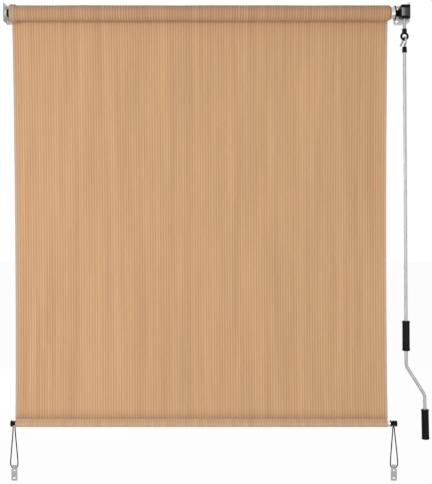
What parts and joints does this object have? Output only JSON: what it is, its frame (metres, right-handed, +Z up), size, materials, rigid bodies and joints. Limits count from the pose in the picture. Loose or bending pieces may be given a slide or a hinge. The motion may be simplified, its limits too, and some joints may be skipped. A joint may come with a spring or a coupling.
{
  "type": "outdoor roller shade",
  "caption": "Wall-mounted outdoor roller shade: ribbed cloth on a tube, turned by a worm gear and an unhooking crank, with a weighted hem bar held by elastic loops and clips.",
  "frame": {"origin": "middle of the four wall holes, on the wall's surface, at the height of the roller's axis", "axes": "+X to the right seen from the room, along the roller; -Y into the room; +Z up"},
  "size_m": [1.3449, 0.077, 1.5192],
  "materials": {
    "zinc_plated": "galvanised sheet",
    "steel": "plain drawn steel",
    "black_plastic": "moulded, slightly glossy",
    "grip_plastic": "moulded, glossy",
    "front_plate": "satin",
    "cloth": "ribbed knitted shade cloth",
    "elastic": "braided elastic cord",
    "white_plastic": "extruded strip",
    "rod_coating": "light grey, satin",
    "aluminium": "mill finish",
    "gear_brass": "machined"
  },
  "bodies": {
    "frame": {"left_wall_bracket": "zinc_plated", "right_wall_bracket": "zinc_plated", "idler_pin": "steel", "idler_washer": "zinc_plated", "gear_housing": "black_plastic", "gear_cover": "black_plastic", "gear_screws": "steel", "gear_front_plate": "front_plate", "worm_bush": "black_plastic", "fabric_sheet": "cloth"},
    "roller": {"roller_tube": "zinc_plated", "left_end_plug": "black_plastic", "right_end_plug": "black_plastic", "drive_spigot": "steel", "worm_wheel": "black_plastic", "fabric_strip": "white_plastic", "fabric_roll": "cloth"},
    "hem": {"hem_sleeve": "cloth", "hem_bar": "aluminium", "left_hem_cap": "black_plastic", "right_hem_cap": "black_plastic", "left_elastic_loop": "elastic", "right_elastic_loop": "elastic", "left_tie_clip": "zinc_plated", "right_tie_clip": "zinc_plated"},
    "eye": {"worm": "gear_brass", "eye_shaft": "steel", "worm_pin": "steel", "crank_eye": "black_plastic", "eye_pin": "steel"},
    "hand_grip": {"upper_grip": "grip_plastic"},
    "crank": {"crank_hook": "steel", "hook_ferrule": "grip_plastic", "crank_rod": "rod_coating"},
    "end_grip": {"lower_grip": "grip_plastic"}
  },
  "joints": [
    {"name": "roller_spin", "type": "hinge", "parent": "frame", "child": "roller", "pos_m": [0, -0.042, 0], "axis": [1, 0, 0], "range_deg": [0, 2880]},
    {"name": "hem_lift", "type": "slide", "parent": "frame", "child": "hem", "axis": [0, 0, 1], "range_m": [0, 1.2567], "deforming": ["fabric_sheet"]},
    {"name": "eye_spin", "type": "hinge", "parent": "frame", "child": "eye", "pos_m": [0.623, -0.062, -0.087], "axis": [0, 0, 1], "range_deg": [0, 11520]},
    {"name": "crank_swing", "type": "hinge", "parent": "frame", "child": "hand_grip", "pos_m": [0.623, -0.062, -0.087], "axis": [-1, 0, 0], "range_deg": [-2, 70]},
    {"name": "crank_spin", "type": "hinge", "parent": "hand_grip", "child": "crank", "pos_m": [0.623, -0.062, -0.087], "axis": [-0.0052, 0, 1], "range_deg": [0, 11520]},
    {"name": "lower_grip_spin", "type": "hinge", "parent": "crank", "child": "end_grip", "pos_m": [0.68635, -0.062, -1.20468], "axis": [-0.0209, 0, 0.9998], "continuous": true}
  ],
  "couplings": [
    {"joint": "hem_lift", "follows": "roller_spin", "m_per_rad": 0.025},
    {"joint": "eye_spin", "follows": "roller_spin", "ratio": 4},
    {"joint": "crank_spin", "follows": "roller_spin", "ratio": 4}
  ]
}
